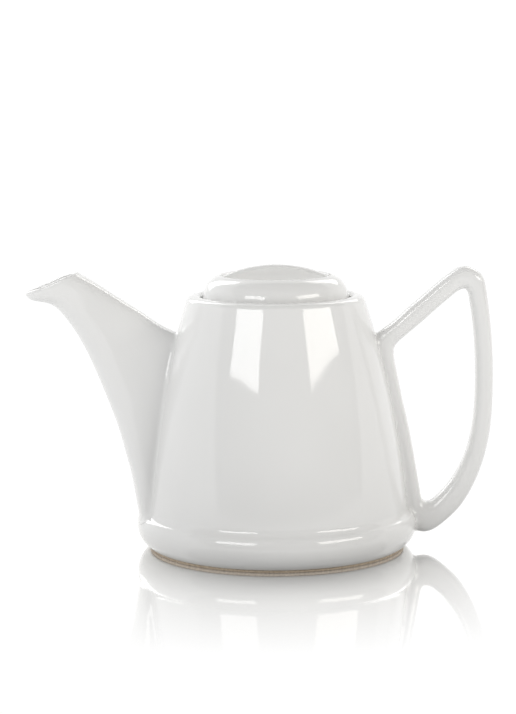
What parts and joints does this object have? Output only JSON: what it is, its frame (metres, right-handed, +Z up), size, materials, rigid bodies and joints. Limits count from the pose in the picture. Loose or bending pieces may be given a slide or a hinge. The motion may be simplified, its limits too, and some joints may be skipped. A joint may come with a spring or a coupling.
{
  "type": "teapot",
  "caption": "White porcelain teapot with a tapered round body, base bead, beak spout, angular loop handle, lift-off lid with a grip bar in a round dish, and a lift-out steel infuser basket.",
  "frame": {"origin": "on the pot's axis, in the plane of the foot it stands on", "axes": "+Z up along the pot's axis, the handle along +X and the spout along -X, +Y away from the side shown"},
  "size_m": [0.2344, 0.1404, 0.1419],
  "materials": {
    "porcelain": "clear glossy glaze over white porcelain",
    "bare_foot": "bare ground porcelain, matt",
    "basket_steel": "fine brushed stainless sheet"
  },
  "bodies": {
    "pot": {"pot_body": "porcelain", "pot_floor": "porcelain", "foot_ring": "bare_foot", "spout": "porcelain", "handle": "porcelain"},
    "infuser": {"infuser_rim": "basket_steel", "infuser_wall": "basket_steel", "infuser_seam": "basket_steel", "infuser_base_ring": "basket_steel", "infuser_base": "basket_steel"},
    "lid": {"lid_cap": "porcelain", "lid_collar": "porcelain", "lid_grip_bar": "porcelain"}
  },
  "joints": [
    {"name": "infuser_lift", "type": "slide", "parent": "pot", "child": "infuser", "axis": [0, 0, 1], "range_m": [0, 0.11]},
    {"name": "lid_lift", "type": "slide", "parent": "infuser", "child": "lid", "axis": [0, 0, 1], "range_m": [0, 0.06]}
  ]
}
